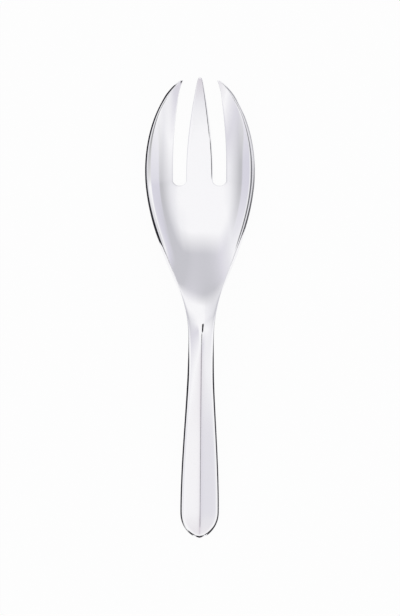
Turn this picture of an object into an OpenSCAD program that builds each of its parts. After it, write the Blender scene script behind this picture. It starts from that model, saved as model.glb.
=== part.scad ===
/* [Overall] */
// Length in plan, from the handle end to the tip of the middle tine
total_length = 250; // [230:1:270]
// Height of the underside of the neck above the table
neck_lift = 19.5; // [14:0.5:24]
// Height of the underside of the middle tine tip above the table
tip_lift = 8; // [5:0.5:12]
// Slope of the tines at their tips, in degrees
tip_angle = 16; // [10:1:24]

/* [Bowl] */
// Width of the bowl at its widest place
bowl_width = 60; // [52:0.5:68]
// Distance of the widest place of the bowl from the middle tine tip
bowl_widest_at = 50.2; // [44:0.2:58]
// Height of the rim above the middle of the bowl at the widest place
bowl_depth = 9; // [5:0.5:12]
// Distance by which the oval of the bowl would run on past the middle tine tip
oval_overrun = 2.4; // [1.6:0.1:5]
// Distance of the lowest place of the bowl from the middle tine tip
bowl_rest_at = 57; // [50:1:64]
// Distance of the steep back wall of the bowl from the middle tine tip
heel_at = 100; // [96:1:104]
// Height of the underside there above the table
heel_lift = 8.2; // [6.6:0.2:10]
// Width of the shoulders where they flare out of the neck
flare_width = 27.4; // [24:0.2:32]
// Distance of that flare from the middle tine tip
flare_at = 110.5; // [104:0.5:116]

/* [Tines] */
// Length of the two slots, from the middle tine tip to the slot root
slot_length = 58.7; // [48:0.5:64]
// Width of each slot at its root
slot_width = 7.3; // [6:0.1:8.4]
// Width of each slot at its mouth
slot_mouth = 8.8; // [7:0.1:10]
// Depth of the rounding at the slot root
slot_root_round = 2; // [1.6:0.1:3]
// Width of the middle tine at its root
middle_tine_width = 14.5; // [12:0.1:16]
// Width of the middle tine at its tip
middle_tip_width = 2.4; // [2:0.1:3.4]
// Width of the outer tines where the rounding of the tip starts
outer_tip_width = 2.6; // [2.2:0.1:3.6]
// Length of the taper of the tines
tine_taper = 49; // [40:1:54]

/* [Neck] */
// Width of the neck at its narrowest place
neck_width = 13.4; // [11:0.1:16]
// Distance of the narrowest place from the handle end
neck_at = 110.5; // [100:0.5:118]

/* [Handle] */
// Width of the handle at its widest place
handle_width = 21.4; // [18:0.1:25]
// Length of the pointed end of the handle
end_length = 14.1; // [11:0.1:18]
// Slope at which the handle rises from its end, in degrees
handle_angle = 8; // [6:0.5:10]
// Distance from the handle end at which the handle starts to bend to the neck
bend_at = 80; // [72:1:88]
// Height of the underside there above the table
bend_lift = 13.2; // [11.4:0.2:15]
// Height of the middle ridge above the edges of the handle
ridge_height = 1.7; // [1:0.1:2.4]
// Distance from the handle end at which the ridge starts to fade
ridge_fade_from = 100; // [90:1:106]
// Distance over which the ridge fades into the neck
ridge_fade = 38; // [30:1:44]
// Half width of the rounding of the ridge on the handle
ridge_soft = 0.3; // [0.2:0.1:0.8]
// Half width of that rounding where the ridge runs out over the neck
neck_soft = 1.3; // [1:0.1:3]

/* [Thickness] */
// Thickness of the handle at its edges
handle_edge = 2.1; // [1.8:0.1:2.8]
// Thickness of the neck at its sides
neck_edge = 3.2; // [2.6:0.1:4]
// Thickness of the bowl at its rim
rim_edge = 1.6; // [1.3:0.1:2.2]
// Thickness of the tines at their tips
tip_edge = 1.3; // [1.1:0.1:1.6]
// Extra thickness in the middle of the neck, on its underside
neck_crown = 1; // [0.4:0.1:1.6]
// Extra thickness in the middle of the bowl
bowl_crown = 0.4; // [0:0.1:0.8]
// Radius of the corners of the rim
rim_corner = 0.5; // [0.3:0.05:0.6]

/* [Hidden] */

// Places along the fork, measured from the handle end
widest_v = total_length - bowl_widest_at;
nose_v = total_length + oval_overrun;
rest_v = total_length - bowl_rest_at;
flare_v = total_length - flare_at;
root_v = total_length - slot_length;
side_v = root_v + slot_root_round;
heel_v = total_length - heel_at;
crest_past_neck = 8.5;
crest_v = neck_at + crest_past_neck;
midway_v = crest_v / 2;

// Half widths that the outline passes through
bowl_half = bowl_width / 2;
neck_half = neck_width / 2;
handle_half = handle_width / 2;
flare_half = flare_width / 2;

// Slopes: shoulders against the mean flare of the outline, bend, back wall of the bowl
flare_steepness = 1.623;
flare_slope = flare_steepness * (bowl_half - neck_half) / (widest_v - crest_v);
bend_slope = 0.19;
heel_slope = -0.45;

// Fullness of the pointed end, the oval, the dish, the tapers and the slot roots
end_fullness = 0.65;
oval_power = 1.9;
dish_power = 3.3;
shoulder_power = 1.5;
taper_power = 1.65;
root_power = 0.6;

// Distance over which the dish deepens from the neck, and where that starts
dish_delay = 3;
dish_start = crest_v + dish_delay;
dish_run = 36;

// Distance over which the ridge gets rounder, and where that starts
soften_delay = 4;
soften_from = ridge_fade_from + soften_delay;
soften_run = 14;

// Extra edge thickness midway and at the lowest place, and slopes of that thickness
edge_swell = 0.1;
midway_growth = 0.005;
rest_thinning = -0.004;
tip_thinning = -0.006;

// Numbers of steps of the skin
end_steps = 7;
handle_steps = 15;
neck_steps = 15;
bowl_steps = 12;
tine_steps = 17;
middle_cols = 3;
root_cols = 6;
outer_cols = 5;
cols = middle_cols + root_cols + outer_cols;

function smooth(t) = let (c = min(max(t, 0), 1)) c * c * (3 - 2 * c);
function mix(a, b, t) = a + (b - a) * t;
function unit(p) = p / norm(p);

// Smooth curve between two places [distance, value, slope]
function curve(v, a, b) =
    let (h = b[0] - a[0], t = (v - a[0]) / h, t2 = t * t, t3 = t2 * t)
    (2 * t3 - 3 * t2 + 1) * a[1] + (t3 - 2 * t2 + t) * h * a[2]
    + (3 * t2 - 2 * t3) * b[1] + (t3 - t2) * h * b[2];

// Smooth curve through a row of such places
function through(v, places, i = 0) =
    (i == len(places) - 2 || v <= places[i + 1][0])
    ? curve(v, places[i], places[i + 1])
    : through(v, places, i + 1);

// Half the width of the outline at distance v
function half_width(v) =
    v < end_length
    ? handle_half * pow(1 - pow(1 - max(v, 0) / end_length, 2), end_fullness)
    : v < widest_v
    ? through(v, [
        [end_length, handle_half, 0],
        [neck_at, neck_half, 0],
        [flare_v, flare_half, flare_slope],
        [widest_v, bowl_half, 0]])
    : bowl_half * sqrt(max(0.001, 1 - pow((v - widest_v) / (nose_v - widest_v), oval_power)));

// Distance from the handle end at which the pointed end is 2 x wide
function end_place(x) =
    end_length * (1 - sqrt(1 - pow(abs(x) / handle_half, 1 / end_fullness)));

// Share of the tine taper that lies before distance v
function taper(v) = max(0, 1 - (total_length - v) / tine_taper);

function middle_half(v) =
    mix(middle_tine_width, middle_tip_width, pow(taper(v), taper_power)) / 2;

function slot_side(v) =
    middle_half(v) + mix(slot_width, slot_mouth, taper(v));

// Place where an outer tine has narrowed to the width of its tip
function tip_place(lo, hi, n = 24) =
    let (v = (lo + hi) / 2)
    n == 0 ? v
    : half_width(v) - slot_side(v) > outer_tip_width
    ? tip_place(v, hi, n - 1)
    : tip_place(lo, v, n - 1);

// Height of the underside along the middle of the fork
function underside(v) = through(v, [
    [0, 0, tan(handle_angle)],
    [bend_at, bend_lift, bend_slope],
    [crest_v, neck_lift, 0],
    [heel_v, heel_lift, heel_slope],
    [rest_v, 0, 0],
    [total_length, tip_lift, tan(tip_angle)]]);

function edge_thick(v) = through(v, [
    [0, handle_edge, 0],
    [midway_v, handle_edge + edge_swell, midway_growth],
    [neck_at, neck_edge, 0],
    [rest_v, rim_edge + edge_swell, rest_thinning],
    [total_length, tip_edge, tip_thinning]]);

function crown(v) = through(v, [
    [0, 0, 0],
    [midway_v, 0, 0],
    [neck_at, neck_crown, 0],
    [rest_v, bowl_crown, 0],
    [total_length, bowl_crown / 2, 0]]);

function ridge(v) =
    ridge_height * min(1, half_width(v) / handle_half)
    * (1 - smooth((v - ridge_fade_from) / ridge_fade));

function dish(v) =
    bowl_depth * smooth((v - dish_start) / dish_run)
    * pow(half_width(v) / bowl_half, v > widest_v ? dish_power : shoulder_power);

// Share of the way from the middle line to the outline
least_half = 0.5;
function across(x, v) = abs(x) / max(half_width(v), least_half);

// Share of the ridge height at [x, v]: two facets that meet in a rounded crest
function crest(x, v) =
    let (s = min(1, across(x, v)),
         soft = mix(ridge_soft, neck_soft, smooth((v - soften_from) / soften_run))
            / max(half_width(v), least_half),
         flank = norm([1, soft]))
    (flank - norm([s, soft])) / (flank - soft);

// Thickness and middle height of the skin at [x, v]
function thick(x, v) =
    let (s = min(1, across(x, v)))
    edge_thick(v) + ridge(v) * crest(x, v) + crown(v) * (1 - s * s);

function middle(x, v) =
    underside(v) + thick(x, v) / 2
    + dish(v) * pow(across(x, v), dish_power);

// Upward direction of the skin at [x, v], from places a small distance either side
probe = 0.2;
function upward(x, v) =
    let (d = probe,
         gx = (middle(x + d, v) - middle(x - d, v)) / (2 * d),
         gv = (middle(x, v + d) - middle(x, v - d)) / (2 * d))
    unit([-gx, -gv, 1]);

// Corner radius of the edge at distance v
function corner(v) = rim_corner * edge_thick(v) / rim_edge;

// Columns across the half fork, as shares of the half width at the slot root
root_mid = (middle_half(side_v) + slot_side(side_v)) / 2;
root_half = (slot_side(side_v) - middle_half(side_v)) / 2;
function root_point(j) =
    let (a = 180 * (1 - j / root_cols), c = cos(a))
    [root_mid + root_half * sign(c) * pow(abs(c), root_power),
     side_v - slot_root_round * pow(max(0, sin(a)), root_power)];
function share(j) =
    (j <= middle_cols ? middle_half(side_v) * j / middle_cols
    : j <= middle_cols + root_cols ? root_point(j - middle_cols)[0]
    : mix(slot_side(side_v), half_width(side_v), (j - middle_cols - root_cols) / outer_cols))
    / half_width(side_v);

// Rows along the fork, from the pointed end to the slot root
first_share = 0.07;
first_v = first_share * end_length;
end_share = 0.85;
end_v = end_share * end_length;
neck_lead = 16;
neck_from = neck_at - neck_lead;
bowl_lead = 10;
bowl_from = flare_v + bowl_lead;
last_gap = 2.2;
end_spread = 1.3;
tip_spread = 1.35;
rows = concat(
    [for (i = [0 : end_steps - 1]) mix(first_v, end_v, pow(i / end_steps, end_spread))],
    [for (i = [0 : handle_steps - 1]) mix(end_v, neck_from, i / handle_steps)],
    [for (i = [0 : neck_steps - 1]) mix(neck_from, bowl_from, i / neck_steps)],
    [for (i = [0 : bowl_steps - 1]) mix(bowl_from, side_v - last_gap, i / (bowl_steps - 1))],
    [side_v]);
last = len(rows) - 1;

// Rows of the tines, closer together towards the tips
outer_end = tip_place(side_v, total_length);
middle_end = total_length - middle_tip_width / 2;
function tine_row(k, to) = mix(side_v, to, 1 - pow(1 - k / tine_steps, tip_spread));

// Rounded tip of an outer tine, from its outer side to its slot side
function outer_tip(t) =
    let (d = 0.1, a = half_width(outer_end), b = slot_side(outer_end),
         sa = (a - half_width(outer_end - d)) / d,
         sb = (b - slot_side(outer_end - d)) / d,
         rise = (a - b) / (sb - sa))
    (1 - t) * (1 - t) * [a, outer_end]
    + 2 * t * (1 - t) * [b + sb * rise, outer_end + rise]
    + t * t * [b, outer_end];

function middle_tip(t) =
    [middle_half(middle_end) * cos(90 * t),
     middle_end + (total_length - middle_end) * sin(90 * t)];

// Outline of the right half, from the pointed end round to the middle tip
outline = concat(
    [for (j = [0 : cols]) let (x = share(j) * half_width(first_v)) [x, end_place(x)]],
    [for (i = [1 : last]) [half_width(rows[i]), rows[i]]],
    [for (k = [1 : tine_steps - 1]) let (v = tine_row(k, outer_end)) [half_width(v), v]],
    [for (j = [0 : outer_cols]) outer_tip(j / outer_cols)],
    [for (k = [tine_steps - 1 : -1 : 1])
        let (v = tine_row(k, outer_end)) [slot_side(v), v]],
    [for (j = [root_cols : -1 : 0]) root_point(j)],
    [for (k = [1 : tine_steps - 1]) let (v = tine_row(k, middle_end)) [middle_half(v), v]],
    [for (j = [0 : middle_cols]) middle_tip(j / middle_cols)]);
rim_count = len(outline);

// Places in the outline where its pieces start
at_outer = cols + last;
at_slot = at_outer + tine_steps + outer_cols;
at_root = at_slot + tine_steps;
at_middle = at_root + root_cols;

// Outward direction of the outline, in plan
outward = [for (i = [0 : rim_count - 1])
    i == 0 ? [0, -1]
    : i == rim_count - 1 ? [0, 1]
    : let (t = unit(outline[i] - outline[i - 1]) + unit(outline[i + 1] - outline[i]))
      unit([t[1], -t[0]])];

// Line inside the outline from which the rounded edge springs
rim = [for (i = [0 : rim_count - 1])
    let (p = outline[i], n = outward[i], up = upward(p[0], p[1]),
         e = corner(p[1]), h = thick(p[0], p[1]) / 2,
         q = p - n * (e + (h - e) * abs(up * [n[0], n[1], 0])))
    [i == 0 || i == rim_count - 1 ? 0 : q[0], q[1]]];

// Skin points in plan: body rows, then middle tine, then outer tine
function body_row(i) =
    i == 0 ? [for (j = [0 : cols]) rim[j]]
    : i < last ? [for (j = [0 : cols]) [share(j) * rim[cols + i][0], rim[cols + i][1]]]
    : concat(
        [for (j = [0 : middle_cols - 1])
            [rim[at_middle][0] * j / middle_cols, rim[at_middle][1]]],
        [for (j = [0 : root_cols]) rim[at_middle - j]],
        [for (j = [1 : outer_cols]) mix(rim[at_root], rim[at_outer], j / outer_cols)]);
function middle_row(k) =
    k < tine_steps
    ? [for (j = [0 : middle_cols])
        [rim[at_middle + k][0] * j / middle_cols, rim[at_middle + k][1]]]
    : [for (j = [0 : middle_cols]) rim[rim_count - 1 - j]];
function outer_row(k) =
    k < tine_steps
    ? [for (j = [0 : outer_cols])
        mix(rim[at_root - k], rim[at_outer + k], j / outer_cols)]
    : [for (j = [0 : outer_cols]) rim[at_slot - j]];
plan = concat(
    [for (i = [0 : last]) each body_row(i)],
    [for (k = [1 : tine_steps]) each middle_row(k)],
    [for (k = [1 : tine_steps]) each outer_row(k)]);
plan_count = len(plan);

// Numbers of the skin points
middle_base = (last + 1) * (cols + 1);
outer_base = middle_base + tine_steps * (middle_cols + 1);
function body_at(i, j) = i * (cols + 1) + j;
function middle_at(k, j) =
    k == 0 ? body_at(last, j) : middle_base + (k - 1) * (middle_cols + 1) + j;
function outer_at(k, j) =
    k == 0 ? body_at(last, middle_cols + root_cols + j)
    : outer_base + (k - 1) * (outer_cols + 1) + j;
rim_at = concat(
    [for (j = [0 : cols]) body_at(0, j)],
    [for (i = [1 : last]) body_at(i, cols)],
    [for (k = [1 : tine_steps]) outer_at(k, outer_cols)],
    [for (j = [outer_cols - 1 : -1 : 0]) outer_at(tine_steps, j)],
    [for (k = [tine_steps - 1 : -1 : 1]) outer_at(k, 0)],
    [for (j = [root_cols : -1 : 0]) body_at(last, middle_cols + j)],
    [for (k = [1 : tine_steps]) middle_at(k, middle_cols)],
    [for (j = [middle_cols - 1 : -1 : 0]) middle_at(tine_steps, j)]);

// Rounded edge: steps round the upper corner, then round the lower one
corner_steps = 3;
edge_layers = 2 * corner_steps;
function edge_point(i, q) =
    let (p = rim[i], n = [outward[i][0], outward[i][1], 0],
         up = upward(p[0], p[1]), out = unit(n - (n * up) * up),
         h = thick(p[0], p[1]) / 2, e = corner(p[1]),
         upper = q < corner_steps,
         a = 90 * (upper ? q + 1 : edge_layers - q) / corner_steps,
         w = (h - e + e * cos(a)) * (upper ? 1 : -1))
    [p[0], p[1], middle(p[0], p[1])] + e * sin(a) * out + w * up;

function skin_point(p, side) =
    [p[0], p[1], middle(p[0], p[1])] + side * thick(p[0], p[1]) / 2 * upward(p[0], p[1]);

half_points = concat(
    [for (p = plan) skin_point(p, 1)],
    [for (p = plan) skin_point(p, -1)],
    [for (i = [0 : rim_count - 1]) for (q = [0 : edge_layers - 1]) edge_point(i, q)]);
half_count = len(half_points);

function edge_at(i, q) =
    q < 0 ? rim_at[i]
    : q == edge_layers ? plan_count + rim_at[i]
    : 2 * plan_count + i * edge_layers + q;

// Triangles of the right half, turned clockwise as seen from outside
function sheet(a, b, c, d) = [[a, c, b], [a, d, c],
    [a + plan_count, b + plan_count, c + plan_count],
    [a + plan_count, c + plan_count, d + plan_count]];
half_faces = concat(
    [for (i = [0 : last - 1]) for (j = [0 : cols - 1])
        each sheet(body_at(i, j), body_at(i, j + 1), body_at(i + 1, j + 1), body_at(i + 1, j))],
    [for (k = [0 : tine_steps - 1]) for (j = [0 : middle_cols - 1])
        each sheet(middle_at(k, j), middle_at(k, j + 1),
            middle_at(k + 1, j + 1), middle_at(k + 1, j))],
    [for (k = [0 : tine_steps - 1]) for (j = [0 : outer_cols - 1])
        each sheet(outer_at(k, j), outer_at(k, j + 1),
            outer_at(k + 1, j + 1), outer_at(k + 1, j))],
    [for (i = [0 : rim_count - 2]) for (q = [-1 : edge_layers - 1])
        let (a = edge_at(i, q), b = edge_at(i + 1, q),
             c = edge_at(i + 1, q + 1), d = edge_at(i, q + 1))
        each [[a, b, c], [a, c, d]]]);

// The left half mirrors the right one and shares the points on the middle line
function mirrored(i) = abs(half_points[i][0]) < 0.00001 ? i : i + half_count;
points = concat(half_points, [for (p = half_points) [-p[0], p[1], p[2]]]);
faces = concat(half_faces,
    [for (f = half_faces) [mirrored(f[0]), mirrored(f[2]), mirrored(f[1])]]);

// Middle of the length, so that the fork stands over the origin
middle_y = (min([for (p = half_points) p[1]]) + max([for (p = half_points) p[1]])) / 2;
lowest = min([for (p = half_points) p[2]]);

module serving_fork() {
    color("silver")
        translate([0, -middle_y, -lowest])
            polyhedron(points = points, faces = faces);
}

serving_fork();
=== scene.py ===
import math

import bmesh
import bpy
from mathutils import Matrix, Vector


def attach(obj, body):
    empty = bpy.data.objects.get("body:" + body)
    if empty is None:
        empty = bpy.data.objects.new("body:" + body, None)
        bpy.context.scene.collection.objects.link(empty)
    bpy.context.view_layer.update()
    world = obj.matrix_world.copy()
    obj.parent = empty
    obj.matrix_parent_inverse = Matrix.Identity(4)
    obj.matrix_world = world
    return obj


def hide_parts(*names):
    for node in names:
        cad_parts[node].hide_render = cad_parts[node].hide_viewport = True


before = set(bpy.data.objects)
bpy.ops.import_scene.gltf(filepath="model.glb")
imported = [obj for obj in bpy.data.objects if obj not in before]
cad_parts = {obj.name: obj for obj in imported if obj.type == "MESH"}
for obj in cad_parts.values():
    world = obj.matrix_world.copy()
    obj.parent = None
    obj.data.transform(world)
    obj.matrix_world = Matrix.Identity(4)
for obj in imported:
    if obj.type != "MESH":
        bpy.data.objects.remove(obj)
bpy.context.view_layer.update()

# Lengths are metres. Places along the fork are measured from the handle end.
MM = 0.001
LENGTH = 250 * MM
NODE = "serving_fork"

# Bowl
BOWL_WIDTH = 60 * MM
WIDEST = LENGTH - 50.2 * MM
BOWL_DEPTH = 9 * MM
OVAL_NOSE = LENGTH + 2.4 * MM
OVAL_POWER = 1.9
BOWL_REST = LENGTH - 57 * MM
FLARE_WIDTH = 27.4 * MM
FLARE = LENGTH - 110.5 * MM
FLARE_SLOPE = 0.468
DISH_POWER = 3.3
SHOULDER_POWER = 1.5
DISH_DELAY = 3 * MM
DISH_RISE = 36 * MM

# Slots and tines
SLOT_ROOT = LENGTH - 58.7 * MM
SLOT_WIDTH = 7.3 * MM
SLOT_MOUTH = 8.8 * MM
MIDDLE_WIDTH = 14.5 * MM
MIDDLE_TIP = 2.4 * MM
TAPER_LENGTH = 49 * MM
TAPER_POWER = 1.65

# Neck and handle
NECK_WIDTH = 13.4 * MM
NECK = 110.5 * MM
CREST = NECK + 8.5 * MM
HANDLE_WIDTH = 21.4 * MM
END_LENGTH = 14.1 * MM
END_FULLNESS = 0.65
MIDWAY = CREST / 2

# Heights of the underside above the table
HANDLE_SLOPE = 0.14
BEND = 80 * MM
BEND_LIFT = 13.2 * MM
BEND_SLOPE = 0.19
HEEL = 150 * MM
HEEL_LIFT = 8.2 * MM
HEEL_SLOPE = -0.45
NECK_LIFT = 19.5 * MM
TIP_LIFT = 8 * MM
TIP_SLOPE = math.tan(math.radians(16))

# Thicknesses, and the ridge along the handle
HANDLE_EDGE = 2.1 * MM
MIDWAY_EDGE = HANDLE_EDGE + 0.1 * MM
NECK_EDGE = 3.2 * MM
RIM_EDGE = 1.6 * MM
REST_EDGE = RIM_EDGE + 0.1 * MM
TIP_EDGE = 1.3 * MM
MIDWAY_SWELL = 0.005
REST_THINNING = -0.004
TIP_THINNING = -0.006
NECK_CROWN = 1 * MM
BOWL_CROWN = 0.4 * MM
RIDGE = 1.7 * MM
MOST_THICK = NECK_EDGE + NECK_CROWN + RIDGE
RIDGE_FADE_FROM = 100 * MM
RIDGE_FADE = 38 * MM
RIDGE_SOFT = 0.3 * MM
NECK_SOFT = 0.8 * MM
SOFTEN_FROM = 104 * MM
SOFTEN = 14 * MM

# Bevelled border along the top of the handle: two narrow lands
BORDER_SLOPES = (0.25, 0.8)
BORDER_WIDTHS = (0.7 * MM, 1 * MM)
NECK_BORDER_SLOPES = (0.05, 0.5)
NECK_BORDER_WIDTHS = (0.7 * MM, 0.5 * MM)
BORDER_NARROWS_FROM = 80 * MM
BORDER_NARROWS = 30 * MM
BORDER_FADE_FROM = 132 * MM
BORDER_FADE = 22 * MM
LEAST_DROP = 0.01 * MM

# The lands are less steep round the end of the handle
END_EASE = 0.72
END_EASE_FROM = 4 * MM
END_EASE_RUN = 10 * MM

# Least values, so that no root is taken of a negative number and nothing is divided by zero
LEAST_OVAL = 0.001
LEAST_HALF = 0.5 * MM


def smooth(t):
    t = min(max(t, 0), 1)
    return t * t * (3 - 2 * t)


def ramp(v, start, run):
    """0 up to the start and 1 after the run, with a smooth rise between."""
    return smooth((v - start) / run)


def mix(a, b, t):
    return a + (b - a) * t


def through(v, places):
    """Value at distance v of the smooth curve through places [distance, value, slope]."""
    pairs = list(zip(places, places[1:]))
    start, end = next((pair for pair in pairs if v <= pair[1][0]), pairs[-1])
    span = end[0] - start[0]
    t = (v - start[0]) / span
    return (
        (2 * t**3 - 3 * t**2 + 1) * start[1]
        + (t**3 - 2 * t**2 + t) * span * start[2]
        + (3 * t**2 - 2 * t**3) * end[1]
        + (t**3 - t**2) * span * end[2]
    )


def half_width(v):
    if v < END_LENGTH:
        return HANDLE_WIDTH / 2 * (1 - (1 - max(v, 0) / END_LENGTH) ** 2) ** END_FULLNESS
    if v < WIDEST:
        return through(v, [
            (END_LENGTH, HANDLE_WIDTH / 2, 0),
            (NECK, NECK_WIDTH / 2, 0),
            (FLARE, FLARE_WIDTH / 2, FLARE_SLOPE),
            (WIDEST, BOWL_WIDTH / 2, 0),
        ])
    share = (v - WIDEST) / (OVAL_NOSE - WIDEST)
    return BOWL_WIDTH / 2 * math.sqrt(max(LEAST_OVAL, 1 - share**OVAL_POWER))


def taper(v):
    return max(0, 1 - (LENGTH - v) / TAPER_LENGTH)


def middle_half(v):
    return mix(MIDDLE_WIDTH, MIDDLE_TIP, taper(v) ** TAPER_POWER) / 2


def slot_side(v):
    return middle_half(v) + mix(SLOT_WIDTH, SLOT_MOUTH, taper(v))


def underside(v):
    return through(v, [
        (0, 0, HANDLE_SLOPE),
        (BEND, BEND_LIFT, BEND_SLOPE),
        (CREST, NECK_LIFT, 0),
        (HEEL, HEEL_LIFT, HEEL_SLOPE),
        (BOWL_REST, 0, 0),
        (LENGTH, TIP_LIFT, TIP_SLOPE),
    ])


def edge_thick(v):
    return through(v, [
        (0, HANDLE_EDGE, 0),
        (MIDWAY, MIDWAY_EDGE, MIDWAY_SWELL),
        (NECK, NECK_EDGE, 0),
        (BOWL_REST, REST_EDGE, REST_THINNING),
        (LENGTH, TIP_EDGE, TIP_THINNING),
    ])


def crown(v):
    return through(v, [
        (0, 0, 0),
        (MIDWAY, 0, 0),
        (NECK, NECK_CROWN, 0),
        (BOWL_REST, BOWL_CROWN, 0),
        (LENGTH, BOWL_CROWN / 2, 0),
    ])


def ridge(v):
    fade = 1 - ramp(v, RIDGE_FADE_FROM, RIDGE_FADE)
    return RIDGE * min(1, half_width(v) / (HANDLE_WIDTH / 2)) * fade


def dish(v):
    power = DISH_POWER if v > WIDEST else SHOULDER_POWER
    fade = smooth((v - CREST - DISH_DELAY) / DISH_RISE)
    return BOWL_DEPTH * fade * (half_width(v) / (BOWL_WIDTH / 2)) ** power


def across(x, v):
    """Share of the way from the middle line to the outline."""
    return abs(x) / max(half_width(v), LEAST_HALF)


def crest(x, v):
    """Share of the ridge height at [x, v]: two facets that meet in a rounded crest."""
    s = min(1, across(x, v))
    soft = mix(RIDGE_SOFT, NECK_SOFT, ramp(v, SOFTEN_FROM, SOFTEN)) / half_width(max(v, MM))
    flank = math.sqrt(1 + soft**2)
    return (flank - math.sqrt(s**2 + soft**2)) / (flank - soft)


def thick(x, v):
    s = min(1, across(x, v))
    return edge_thick(v) + ridge(v) * crest(x, v) + crown(v) * (1 - s * s)


def outline_lean(v):
    """Cosine of the angle between the outline and the length of the fork."""
    apart = 0.1 * MM
    return 1 / math.hypot(1, (half_width(v + apart) - half_width(v)) / apart)


def end_place(x):
    """Distance at which the pointed end of the handle is 2 x wide."""
    share = min(1, abs(x) / (HANDLE_WIDTH / 2)) ** (1 / END_FULLNESS)
    return END_LENGTH * (1 - math.sqrt(1 - share))


def toward_neck(v, on_handle, on_neck):
    """Values of the two lands at distance v."""
    share = ramp(v, BORDER_NARROWS_FROM, BORDER_NARROWS)
    return [mix(a, b, share) for a, b in zip(on_handle, on_neck)]


def border(x, v):
    """Drop of the upper face on the two lands of the bevelled border."""
    gap = max(0, min((half_width(v) - x) * outline_lean(v), v - end_place(x)))
    widths = toward_neck(v, BORDER_WIDTHS, NECK_BORDER_WIDTHS)
    slopes = toward_neck(v, BORDER_SLOPES, NECK_BORDER_SLOPES)
    outer = max(0, widths[1] - gap)
    inner = max(0, sum(widths) - gap) - outer
    fade = 1 - ramp(v, BORDER_FADE_FROM, BORDER_FADE)
    ease = mix(END_EASE, 1, ramp(v, END_EASE_FROM, END_EASE_RUN))
    return fade * ease * (slopes[0] * inner + slopes[1] * outer)


def middle(x, v):
    return underside(v) + thick(x, v) / 2 + dish(v) * across(x, v) ** DISH_POWER


def leaning(x, v):
    """Sideways reach of half the thickness, where the sheet at [x, v] isn't level."""
    apart = 0.2 * MM
    slope = (middle(x + apart, v) - middle(x - apart, v)) / (2 * apart)
    return thick(x, v) / 2 * abs(math.sin(math.atan(slope)))


def rim_half(v):
    """Half width of the flat sheet, so that the thick rim reaches the outline."""
    return half_width(v) - leaning(half_width(v), v)


def edit(piece):
    if bpy.context.mode != "OBJECT":
        bpy.ops.object.mode_set(mode="OBJECT")
    bpy.ops.object.select_all(action="DESELECT")
    bpy.context.view_layer.objects.active = piece
    piece.select_set(True)
    bpy.ops.object.mode_set(mode="EDIT")


def pick(piece, test, kind="VERT"):
    """Selects, in edit mode, the points or edges that pass the test."""
    bpy.ops.mesh.select_mode(type=kind)
    bpy.ops.mesh.select_all(action="DESELECT")
    cage = bmesh.from_edit_mesh(piece.data)
    for item in {"VERT": cage.verts, "EDGE": cage.edges}[kind]:
        if test(item):
            item.select = True
    cage.select_flush_mode()
    bmesh.update_edit_mesh(piece.data)


def finish_with(piece, kind, **values):
    """Adds a modifier, sets it and applies it."""
    bpy.ops.object.mode_set(mode="OBJECT")
    bpy.context.view_layer.objects.active = piece
    bpy.ops.object.modifier_add(type=kind)
    modifier = piece.modifiers[-1]
    for name, value in values.items():
        setattr(modifier, name, value)
    bpy.ops.object.modifier_apply(modifier=modifier.name)


SAME_PLACE = 0.001 * MM


def near(a, b):
    return abs(a - b) < SAME_PLACE


# Rows of the cage, from the handle end to the tips
END_ROWS = [v * MM for v in (1.2, 2.1, 3.2, 4.8, 7, 9.6, 12.2, 15)]
HANDLE_ROW_COUNT = 9
LAST_HANDLE_ROW = 86 * MM
NECK_ROW_COUNT = 12
LAST_NECK_ROW = 146 * MM
BOWL_ROW_COUNT = 8
LAST_BOWL_ROW = SLOT_ROOT + 0.6 * MM
TINE_ROW_COUNT = 10
TINE_CROWDING = 1.3
FIRST_TINE_GAP = 3.2 * MM
LAST_MIDDLE_ROW = 247.4 * MM
LAST_OUTER_ROW = 242 * MM


def even_rows(start, end, count):
    return [mix(start, end, i / count) for i in range(1, count + 1)]


def tine_rows(end):
    """Rows along a tine, closer together toward its tip."""
    first = ROOT_ROW + FIRST_TINE_GAP
    shares = [1 - (1 - i / TINE_ROW_COUNT) ** TINE_CROWDING for i in range(1, TINE_ROW_COUNT + 1)]
    return [first] + [mix(first, end, share) for share in shares]


def tip_rows(rows):
    """Rows given in millimetres: distance, then places across."""
    return [(v * MM, [x * MM for x in places]) for v, places in rows]


HANDLE_ROWS = even_rows(END_ROWS[-1], LAST_HANDLE_ROW, HANDLE_ROW_COUNT)
NECK_ROWS = even_rows(LAST_HANDLE_ROW, LAST_NECK_ROW, NECK_ROW_COUNT)
BOWL_ROWS = even_rows(LAST_NECK_ROW, LAST_BOWL_ROW, BOWL_ROW_COUNT)
BODY_ROWS = END_ROWS + HANDLE_ROWS + NECK_ROWS + BOWL_ROWS
ROOT_ROW = BODY_ROWS[-1]
MIDDLE_ROWS = tine_rows(LAST_MIDDLE_ROW)
OUTER_ROWS = tine_rows(LAST_OUTER_ROW)
MIDDLE_TIP_ROWS = tip_rows([
    (249, [0, 0.3, 0.65, 1.3]),
    (249.82, [0, 0.2, 0.4, 0.75]),
])
OUTER_TIP_ROWS = tip_rows([
    (244.4, [10.55, 11.25, 12.1, 13, 13.9, 15.3]),
    (246.7, [9.95, 10.35, 10.8, 11.35, 11.9, 13.25]),
    (248.3, [9.2, 9.4, 9.65, 9.95, 10.2, 10.45]),
])

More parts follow.
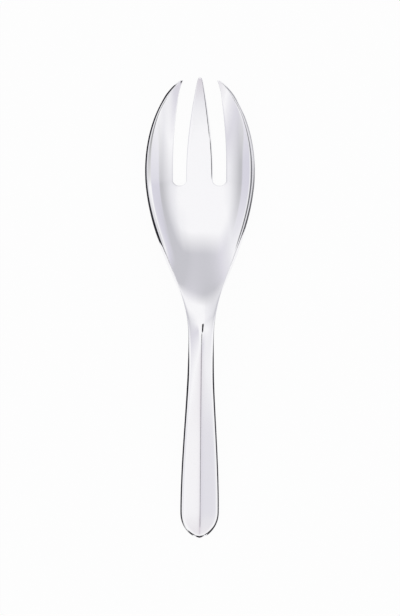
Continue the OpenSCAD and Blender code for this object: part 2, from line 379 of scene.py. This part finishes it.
# Columns of the cage: the crest, then shares of the half width at the slot root
CREST_HALF = 0.45 * MM
NECK_CREST_HALF = 1.9 * MM
CREST_NARROWS_FROM = 140 * MM
CREST_NARROWS = 30 * MM
FULL_CREST_WIDTH = 9 * MM
SLOT_CORNER = 2 * MM
ROOT_HALF = rim_half(ROOT_ROW)
MIDDLE_SHARE = middle_half(ROOT_ROW) / ROOT_HALF
SLOT_SHARES = [
    (middle_half(ROOT_ROW) + SLOT_CORNER) / ROOT_HALF,
    (slot_side(ROOT_ROW) - SLOT_CORNER) / ROOT_HALF,
    slot_side(ROOT_ROW) / ROOT_HALF,
]
OUTER_SHARES = [0.3, 0.62]
MIDDLE_COLUMNS = 4
SLOT_COLUMN = 6

# Strips of the cage along the outline: widths where STRIP_ROOM lies between slot and outline.
# With less room they are narrower in proportion, with more room wider.
STRIP_ROOM = 6 * MM
MOST_BORDER = 3 * MM
MOST_OUTER_LAND = 1.5 * MM
BOWL_STRIP = 2.6 * MM
RIM_STRIP = 0.7 * MM
TIP_STRIP = 1.25 * MM
TIP_STRIP_FROM = 230 * MM
TIP_STRIP_RUN = 12 * MM

# Shift along the fork of the slot root's inner corner, two places of its floor and outer corner
ROOT_SHIFTS = [1.7 * MM, -0.2 * MM, -0.2 * MM, 1.7 * MM]

# The first row is set in, because the thick end leans outward
END_INSET = 0.3 * MM


def y_of(v):
    return v - LENGTH / 2


def v_of(point):
    return point.y + LENGTH / 2


def border_places(inner, outer, v):
    """Places between the outer side of the slot and the outline."""
    fade = ramp(v, BORDER_FADE_FROM, BORDER_FADE)
    room = (outer - inner) / STRIP_ROOM
    lean = outline_lean(v)
    widths = toward_neck(v, BORDER_WIDTHS, NECK_BORDER_WIDTHS)
    first = mix(min(sum(widths) / lean, MOST_BORDER * room), BOWL_STRIP * room, fade)
    rim = mix(RIM_STRIP, TIP_STRIP, ramp(v, TIP_STRIP_FROM, TIP_STRIP_RUN))
    second = mix(min(widths[1] / lean, MOST_OUTER_LAND * room), rim * room, fade)
    inside = outer - first
    between = [mix(inner, inside, share) for share in OUTER_SHARES]
    return between + [inside, outer - second, outer]


def body_places(v):
    """Places across the cage at distance v of the handle, neck and bowl."""
    half = rim_half(v)
    narrow = ramp(v, CREST_NARROWS_FROM, CREST_NARROWS)
    widen = ramp(v, SOFTEN_FROM, SOFTEN) * (1 - narrow)
    crest_at = mix(CREST_HALF, NECK_CREST_HALF, widen) * min(1, half / FULL_CREST_WIDTH)
    middle_at = MIDDLE_SHARE * half
    slot_at = [share * half for share in SLOT_SHARES]
    inner = [0, crest_at, mix(crest_at, middle_at, 0.5), middle_at]
    return inner + slot_at + border_places(slot_at[-1], half, v)


def middle_places(v):
    half = middle_half(v)
    crest_at = min(CREST_HALF, half / 4)
    return [0, crest_at, mix(crest_at, half, 0.5), half]


def outer_places(v):
    inner, outer = slot_side(v), rim_half(v)
    return [inner] + border_places(inner, outer, v)


def draw_out(fork, here, places, ahead, wanted):
    """Extrudes the edges between the places of one row, and moves them to the next row."""
    spans = list(zip(places, places[1:]))

    def in_row(edge):
        if not all(near(v_of(p.co), here) for p in edge.verts):
            return False
        left, right = sorted(p.co.x for p in edge.verts)
        return any(near(left, a) and near(right, b) for a, b in spans)

    pick(fork, in_row, "EDGE")
    bpy.ops.mesh.extrude_region_move(TRANSFORM_OT_translate={"value": (0, ahead - here, 0)})
    moves = list(zip(places, wanted))
    widening = [move for move in moves if move[1] > move[0]]
    narrowing = [move for move in moves if move[1] < move[0]]
    for place, to in list(reversed(widening)) + narrowing:
        pick(fork, lambda p: near(p.co.x, place) and near(v_of(p.co), ahead))
        bpy.ops.transform.translate(value=(to - place, 0, 0))


def extrude_body():
    """Right half of the fork as a flat sheet, drawn out row by row from the handle end."""
    first, second = BODY_ROWS[:2]
    places = body_places(first)
    bpy.ops.object.select_all(action="DESELECT")
    bpy.ops.mesh.primitive_grid_add(
        x_subdivisions=len(places) - 1, y_subdivisions=1, size=1, location=(0.5, 0.5, 0))
    fork = bpy.context.object
    fork.name = "fork_silver"
    bpy.ops.object.transform_apply(location=True, rotation=True, scale=True)
    edit(fork)
    bpy.ops.mesh.select_all(action="SELECT")
    bpy.ops.transform.resize(value=(1, second - first, 1), center_override=(0, 0, 0))
    bpy.ops.transform.translate(value=(0, y_of(first), 0))
    for i, to in enumerate(places):
        place = i / (len(places) - 1)
        pick(fork, lambda p: near(p.co.x, place))
        bpy.ops.transform.translate(value=(to - place, 0, 0))
    for place, to in reversed(list(zip(places, body_places(second)))):
        pick(fork, lambda p: near(p.co.x, place) and near(v_of(p.co), second))
        bpy.ops.transform.translate(value=(to - place, 0, 0))
    for here, ahead in zip(BODY_ROWS[1:], BODY_ROWS[2:]):
        draw_out(fork, here, body_places(here), ahead, body_places(ahead))
    return fork


def extrude_tine(fork, places, rows, places_at, last_rows):
    """One tine, drawn out from the places at the slot root to its tip."""
    here = ROOT_ROW
    for ahead, wanted in [(v, places_at(v)) for v in rows] + last_rows:
        draw_out(fork, here, places, ahead, wanted)
        here, places = ahead, wanted


def shape_ends(fork):
    """Rounds the handle end and sets the corners of the slot root."""
    for x in body_places(BODY_ROWS[0]):
        pick(fork, lambda p: near(p.co.x, x) and near(v_of(p.co), BODY_ROWS[0]))
        bpy.ops.transform.translate(value=(0, end_place(x) + END_INSET - BODY_ROWS[0], 0))
    root = body_places(ROOT_ROW)
    for x, shift in zip(root[MIDDLE_COLUMNS - 1:SLOT_COLUMN + 1], ROOT_SHIFTS):
        pick(fork, lambda p: near(p.co.x, x) and near(v_of(p.co), ROOT_ROW))
        bpy.ops.transform.translate(value=(0, shift, 0))


def lift_sheet(fork):
    """Lifts every point of the flat sheet to its height, and notes the thickness there."""
    fork.vertex_groups.new(name="thickness")
    plan = [(p.co.x, v_of(p.co)) for p in bmesh.from_edit_mesh(fork.data).verts]
    for x, v in plan:
        pick(fork, lambda p: near(p.co.x, x) and near(v_of(p.co), v))
        bpy.context.scene.tool_settings.vertex_group_weight = thick(x, v) / MOST_THICK
        bpy.ops.object.vertex_group_assign()
        bpy.ops.transform.translate(value=(0, 0, middle(x, v)))


# Chamfers along the upper rim; those along the lower rim are slimmer
HANDLE_CHAMFER = 0.2 * MM
NECK_CHAMFER = 0.15 * MM
NECK_CHAMFER_FROM = 84 * MM
NECK_CHAMFER_RUN = 24 * MM
BOWL_CHAMFER = 0.3 * MM
BOWL_CHAMFER_FROM = 142 * MM
BOWL_CHAMFER_RUN = 20 * MM
SLOT_CHAMFER = 0.34 * MM
SLOT_REACH = 0.5 * MM
TIP_CHAMFER = 0.12 * MM
TIP_CHAMFER_FROM = 244 * MM
TIP_CHAMFER_RUN = 3 * MM
MOST_CHAMFER = SLOT_CHAMFER
LOWER_SHARE = 0.4

# Distances by which the upper corner of the rim is set in, round the bowl, tines and tips
BOWL_RAKE = 0.25 * MM
BOWL_RAKE_FROM = 146 * MM
BOWL_RAKE_RUN = 22 * MM
TINE_RAKE = 0.75 * MM
TINE_RAKE_FROM = 205 * MM
TINE_RAKE_RUN = 34 * MM
TIP_RAKE = 1.2 * MM
TIP_RAKE_FROM = 234 * MM
TIP_RAKE_RUN = 8 * MM
RAKE_FADE_FROM = 246 * MM
RAKE_FADE = 3 * MM
RIM_REACH = 0.8 * MM

# Creases: the mark by which the rim edges are known, and the angles above which edges are crisp
RIM_MARK = 0.9
HANDLE_CRISP_ANGLE = math.radians(12)
BOWL_CRISP_ANGLE = math.radians(25)
CRISP = 0.3


def at_outer_tip(x, v):
    """Share of the way into the tip of an outer tine; 0 on the middle one."""
    return ramp(v, TIP_CHAMFER_FROM, TIP_CHAMFER_RUN) if x > MIDDLE_WIDTH / 2 else 0


def chamfer(x, v):
    """Width of the chamfer along the edge at [x, v]."""
    if v > SLOT_ROOT - MM and x < slot_side(v) + SLOT_REACH:
        return mix(SLOT_CHAMFER, TIP_CHAMFER, at_outer_tip(x, v))
    if v < NECK:
        return mix(HANDLE_CHAMFER, NECK_CHAMFER, ramp(v, NECK_CHAMFER_FROM, NECK_CHAMFER_RUN))
    wide = mix(NECK_CHAMFER, BOWL_CHAMFER, ramp(v, BOWL_CHAMFER_FROM, BOWL_CHAMFER_RUN))
    return mix(wide, TIP_CHAMFER, at_outer_tip(x, v))


def rake(v):
    """Distance by which the upper corner of the rim is set in at distance v."""
    fade = ramp(v, BOWL_RAKE_FROM, BOWL_RAKE_RUN) * (1 - ramp(v, RAKE_FADE_FROM, RAKE_FADE))
    before_tip = mix(BOWL_RAKE, TINE_RAKE, ramp(v, TINE_RAKE_FROM, TINE_RAKE_RUN))
    return mix(before_tip, TIP_RAKE, ramp(v, TIP_RAKE_FROM, TIP_RAKE_RUN)) * fade


def set_bevels(fork):
    """Weights of the rim edges, by the width that each chamfer is to have."""
    edit(fork)
    bpy.ops.mesh.select_all(action="SELECT")
    bpy.ops.mesh.normals_make_consistent(inside=False)
    cage = bmesh.from_edit_mesh(fork.data)
    crease = cage.edges.layers.float["crease_edge"]
    rim = [
        (sum((p.co for p in e.verts), Vector()) / 2, e.index)
        for e in cage.edges if e[crease] > RIM_MARK / 2
    ]
    cage.edges.ensure_lookup_table()
    for mid, index in rim:
        x, v = abs(mid.x), v_of(mid)
        width = chamfer(x, v)
        if mid.z < middle(x, v):
            width *= LOWER_SHARE
        pick(fork, lambda e: e.index == index, "EDGE")
        bpy.ops.transform.edge_bevelweight(value=width / MOST_CHAMFER)
    bpy.ops.mesh.select_all(action="SELECT")
    bpy.ops.transform.edge_crease(value=-1)


def thicken(fork):
    """Mirrors the sheet, gives it its thickness and chamfers the rim."""
    finish_with(fork, "MIRROR", merge_threshold=SAME_PLACE)
    finish_with(
        fork, "SOLIDIFY", thickness=MOST_THICK, offset=0, vertex_group="thickness",
        edge_crease_inner=RIM_MARK, edge_crease_outer=RIM_MARK)
    lower_border(fork)
    rake_rim(fork)
    set_bevels(fork)
    finish_with(
        fork, "BEVEL", limit_method="WEIGHT", width=MOST_CHAMFER, offset_type="WIDTH",
        segments=1, use_clamp_overlap=False)


def lower_border(fork):
    """Lowers the upper face along the outline of the handle, in two narrow lands."""
    edit(fork)
    plan = [
        (p.index, border(abs(p.co.x), v_of(p.co))) for p in bmesh.from_edit_mesh(fork.data).verts
        if p.co.z > middle(abs(p.co.x), v_of(p.co))
    ]
    for index, drop in plan:
        if drop > LEAST_DROP:
            pick(fork, lambda p: p.index == index)
            bpy.ops.transform.translate(value=(0, 0, -drop))


def rake_rim(fork):
    """Sets the upper corner of the bowl's rim in, so that its edge leans outward."""
    edit(fork)
    plan = []
    for p in bmesh.from_edit_mesh(fork.data).verts:
        x, v = abs(p.co.x), v_of(p.co)
        if rake(v) > 0 and x > rim_half(v) - RIM_REACH and p.co.z > middle(x, v):
            plan.append((p.index, -math.copysign(rake(v), p.co.x)))
    for index, move in plan:
        pick(fork, lambda p: p.index == index)
        bpy.ops.transform.translate(value=(move, 0, 0))


def crease_corners(fork):
    """Keeps the ridge, the border and the chamfers crisp."""

    def is_corner(edge):
        on_handle = v_of(edge.verts[0].co) < CREST
        return edge.calc_face_angle(0) > (HANDLE_CRISP_ANGLE if on_handle else BOWL_CRISP_ANGLE)

    edit(fork)
    pick(fork, is_corner, "EDGE")
    bpy.ops.transform.edge_crease(value=CRISP)


def model_fork():
    fork = extrude_body()
    root = body_places(ROOT_ROW)
    extrude_tine(fork, root[:MIDDLE_COLUMNS], MIDDLE_ROWS, middle_places, MIDDLE_TIP_ROWS)
    extrude_tine(fork, root[SLOT_COLUMN:], OUTER_ROWS, outer_places, OUTER_TIP_ROWS)
    shape_ends(fork)
    lift_sheet(fork)
    thicken(fork)
    crease_corners(fork)
    finish_with(fork, "SUBSURF", levels=2, render_levels=2)
    bpy.ops.object.shade_smooth()
    return fork


def node(tree, kind, **values):
    """Adds a node and sets its properties, or its inputs by name."""
    made = tree.nodes.new(kind)
    for name, value in values.items():
        if hasattr(made, name):
            setattr(made, name, value)
        else:
            made.inputs[name.replace("_", " ")].default_value = value
    return made


def maths(tree, operation, *values):
    """Math node whose inputs are numbers or other nodes' outputs; returns its output."""
    made = tree.nodes.new("ShaderNodeMath")
    made.operation = operation
    for socket, value in zip(made.inputs, values):
        if isinstance(value, bpy.types.NodeSocket):
            tree.links.new(value, socket)
        else:
            socket.default_value = value
    return made.outputs[0]


# Metal: its colour, the least and most roughness and the clouds between them, and its hairlines
SILVER = (0.93, 0.925, 0.945)
POLISH = {"To_Min": 0.03, "To_Max": 0.07}
CLOUDS = {"Scale": 60, "Detail": 3, "Roughness": 0.6}
HAIRLINES = (2600, 60, 900)
HAIRLINE_NOISE = {"Scale": 1, "Detail": 2}
HAIRLINE_RELIEF = {"Strength": 0.02, "Distance": 0.0001}


def polished_silver():
    """Mirror polish with faint clouding and fine hairlines along the fork."""
    material = bpy.data.materials.new("polished_silver")
    material.use_nodes = True
    tree = material.node_tree
    shader = tree.nodes["Principled BSDF"]
    shader.inputs["Base Color"].default_value = (*SILVER, 1)
    shader.inputs["Metallic"].default_value = 1
    place = tree.nodes.new("ShaderNodeTexCoord")
    clouds = node(tree, "ShaderNodeTexNoise", **CLOUDS)
    tree.links.new(place.outputs["Object"], clouds.inputs["Vector"])
    polish = node(tree, "ShaderNodeMapRange", **POLISH)
    tree.links.new(clouds.outputs["Fac"], polish.inputs["Value"])
    tree.links.new(polish.outputs["Result"], shader.inputs["Roughness"])
    stretch = node(tree, "ShaderNodeMapping", Scale=HAIRLINES)
    tree.links.new(place.outputs["Object"], stretch.inputs["Vector"])
    lines = node(tree, "ShaderNodeTexNoise", **HAIRLINE_NOISE)
    tree.links.new(stretch.outputs["Vector"], lines.inputs["Vector"])
    bump = node(tree, "ShaderNodeBump", **HAIRLINE_RELIEF)
    tree.links.new(lines.outputs["Fac"], bump.inputs["Height"])
    tree.links.new(bump.outputs["Normal"], shader.inputs["Normal"])
    return material


def shown_white(tree):
    """1 for camera, glossy and transmission rays."""
    path = tree.nodes.new("ShaderNodeLightPath")
    mirror = maths(tree, "MAXIMUM", path.outputs["Is Camera Ray"], path.outputs["Is Glossy Ray"])
    return maths(tree, "MAXIMUM", mirror, path.outputs["Is Transmission Ray"])


# Floor: its width and length, its colour, and the share of it that shines by itself
FLOOR_SIZE = (0.232, 0.35)
FLOOR_COLOUR = (0.9, 0.9, 0.9)
FLOOR_GLOW = 0.94


def make_floor():
    """Pale floor that looks nearly white and still takes the fork's shadow."""
    bpy.ops.object.select_all(action="DESELECT")
    bpy.ops.mesh.primitive_plane_add(size=1, location=(0, 0, 0))
    floor = bpy.context.object
    floor.name = "floor"
    floor.scale = (*FLOOR_SIZE, 1)
    bpy.ops.object.transform_apply(location=True, rotation=True, scale=True)
    material = bpy.data.materials.new("pale_floor")
    material.use_nodes = True
    tree = material.node_tree
    tree.nodes.remove(tree.nodes["Principled BSDF"])
    paper = node(tree, "ShaderNodeBsdfDiffuse", Color=(*FLOOR_COLOUR, 1))
    glow = node(tree, "ShaderNodeEmission", Strength=1)
    surface = tree.nodes.new("ShaderNodeMixShader")
    share = maths(tree, "MULTIPLY", shown_white(tree), FLOOR_GLOW)
    tree.links.new(share, surface.inputs["Fac"])
    tree.links.new(paper.outputs["BSDF"], surface.inputs[1])
    tree.links.new(glow.outputs["Emission"], surface.inputs[2])
    tree.links.new(surface.outputs["Shader"], tree.nodes["Material Output"].inputs["Surface"])
    floor.data.materials.append(material)


# The studio round the fork: by azimuth in degrees, colours by angle from the zenith
WHITE = (1, 1, 1)
LIGHT = (0.88, 0.88, 0.9)
PALE = (0.76, 0.75, 0.8)
LAVENDER = (0.72, 0.71, 0.78)
PINK = (0.68, 0.635, 0.68)
GREY = (0.56, 0.56, 0.58)
HEEL_GREY = (0.6, 0.6, 0.63)
TIP_GREY = (0.36, 0.36, 0.38)
SHADE = (0.25, 0.25, 0.27)
DARK = (0.02, 0.02, 0.025)
LEFT = [(0, WHITE), (15, WHITE), (25, LIGHT), (50, GREY), (55, GREY), (57, LAVENDER),
        (70, LAVENDER), (72, WHITE), (74, WHITE), (76, SHADE), (79, SHADE), (81, DARK),
        (98, DARK), (100, WHITE)]
SKY = [
    (-180, LEFT),
    (-160, [(0, WHITE), (10, WHITE), (18, PALE), (45, PALE), (55, WHITE), (70, WHITE),
            (73, DARK), (99, DARK), (101, WHITE)]),
    (-130, [(0, WHITE), (18, WHITE), (40, WHITE), (76, WHITE), (80, DARK),
            (96, DARK), (98, WHITE)]),
    (-90, [(0, WHITE), (10, WHITE), (18, LIGHT), (27, PINK), (38, PINK), (60, WHITE),
           (78, WHITE), (82, DARK), (96, DARK), (98, WHITE)]),
    (-45, [(0, WHITE), (16, WHITE), (22, PALE), (28, PALE), (35, LIGHT), (50, WHITE),
           (73, WHITE), (76, DARK), (99, DARK), (101, WHITE)]),
    (-12, [(0, WHITE), (30, WHITE), (45, LIGHT), (60, WHITE), (73, WHITE), (76, DARK),
           (99, DARK), (101, WHITE)]),
    (8, [(0, WHITE), (12, WHITE), (25, LIGHT), (50, GREY), (56, GREY), (58, LAVENDER),
         (73, LAVENDER), (75, WHITE), (85, WHITE), (88, GREY), (100, GREY), (102, WHITE)]),
    (45, [(0, WHITE), (18, WHITE), (30, LIGHT), (46, HEEL_GREY), (60, HEEL_GREY),
          (68, LAVENDER), (78, WHITE), (84, TIP_GREY), (98, TIP_GREY), (100, WHITE)]),
    (82, [(0, WHITE), (32, WHITE), (48, HEEL_GREY), (62, HEEL_GREY), (72, LAVENDER),
          (80, WHITE), (84, GREY), (98, GREY), (100, WHITE)]),
    (108, [(0, WHITE), (34, WHITE), (50, PALE), (62, PALE), (74, WHITE), (84, GREY),
           (98, GREY), (100, WHITE)]),
    (135, [(0, WHITE), (30, WHITE), (44, LIGHT), (60, LIGHT), (72, WHITE), (80, DARK),
           (97, DARK), (99, WHITE)]),
    (172, LEFT),
]

# Two dark patches above the fork: one is seen where the neck is level, one along the ridge.
# Their places are parts of the direction toward them.
SPOT_X = (0.12, 0.22)
SPOT_Y = (-0.1, 0.02)
LINE_X = (0.08, 0.155)
LINE_Y = (-0.52, -0.14)
LINE_TONE = (0.04, 0.04, 0.045)
PATCH_SOFT = 0.02
PATCH_RISE = 0.1

# Sockets of the mix node that carry colours
FIRST_COLOUR = 6
SECOND_COLOUR = 7
MIXED_COLOUR = 2


def by_angle(tree, angle, stops):
    """Colour that depends on the angle from the zenith."""
    made = tree.nodes.new("ShaderNodeValToRGB")
    elements = made.color_ramp.elements
    tree.links.new(angle, made.inputs["Fac"])
    for degrees, colour in stops:
        place = degrees / 180
        stop = elements[0] if place == 0 else elements.new(place)
        stop.color = (*colour, 1)
    own_last_stop = elements[len(stops)]
    elements.remove(own_last_stop)
    return made.outputs["Color"]


def blend(tree, share, first, second):
    """Colour between the first and the second, which are colours or other nodes' outputs."""
    made = tree.nodes.new("ShaderNodeMix")
    made.data_type = "RGBA"
    inputs = (made.inputs["Factor"], made.inputs[FIRST_COLOUR], made.inputs[SECOND_COLOUR])
    for socket, value in zip(inputs, (share, first, second)):
        if isinstance(value, bpy.types.NodeSocket):
            tree.links.new(value, socket)
        else:
            socket.default_value = value
    return made.outputs[MIXED_COLOUR]


def step(tree, value, start, end):
    """0 before start, 1 after end."""
    made = node(tree, "ShaderNodeMapRange", From_Min=start, From_Max=end)
    tree.links.new(value, made.inputs["Value"])
    return made.outputs["Result"]


def within(tree, value, low, high):
    """1 from low to high, with soft sides."""
    rise = step(tree, value, low - PATCH_SOFT, low)
    return maths(tree, "SUBTRACT", rise, step(tree, value, high, high + PATCH_SOFT))


def make_studio():
    """Sky whose colour depends on direction alone, so that the metal has plain tones to mirror."""
    world = bpy.data.worlds.new("studio")
    bpy.context.scene.world = world
    world.use_nodes = True
    tree = world.node_tree
    place = tree.nodes.new("ShaderNodeTexCoord")
    axes = tree.nodes.new("ShaderNodeSeparateXYZ")
    tree.links.new(place.outputs["Generated"], axes.inputs[0])
    x, y, z = axes.outputs
    angle = maths(tree, "DIVIDE", maths(tree, "ARCCOSINE", z), math.pi)
    azimuth = maths(tree, "DEGREES", maths(tree, "ARCTAN2", y, x))
    before, stops = SKY[0]
    colour = by_angle(tree, angle, stops)
    for at, stops in SKY[1:]:
        share = step(tree, azimuth, before, at)
        colour = blend(tree, share, colour, by_angle(tree, angle, stops))
        before = at
    above = step(tree, z, 0, PATCH_RISE)
    for across_x, along_y, tone in [(SPOT_X, SPOT_Y, DARK), (LINE_X, LINE_Y, LINE_TONE)]:
        patch = maths(tree, "MULTIPLY", within(tree, x, *across_x), within(tree, y, *along_y))
        colour = blend(tree, maths(tree, "MULTIPLY", patch, above), colour, (*tone, 1))
    tree.links.new(colour, tree.nodes["Background"].inputs["Color"])


# The camera looks down on the fork, from a little to its left. Its lens is in millimetres.
CAMERA_DISTANCE = 1.2
CAMERA_TILT = math.radians(2.5)
AIM = (-0.0001, 0.0002, 0.01)
SENSOR_HEIGHT = 36
FOCAL_LENGTH = 129.9
NEAREST = 0.01


def make_camera():
    lens = bpy.data.cameras.new("camera")
    lens.sensor_fit = "VERTICAL"
    lens.sensor_height = SENSOR_HEIGHT
    lens.lens = FOCAL_LENGTH
    camera = bpy.data.objects.new("camera", lens)
    bpy.context.scene.collection.objects.link(camera)
    bpy.context.scene.camera = camera
    turn = Matrix.Rotation(-CAMERA_TILT, 3, "Y")
    camera.location = Vector(AIM) + turn @ Vector((0, 0, CAMERA_DISTANCE))
    camera.rotation_euler = turn.to_euler()
    lens.clip_start = NEAREST


fork = model_fork()
fork.data.materials.clear()
fork.data.materials.append(polished_silver())
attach(fork, "root")
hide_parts(NODE)
make_floor()
make_studio()
make_camera()
bpy.context.scene.view_settings.view_transform = "Standard"
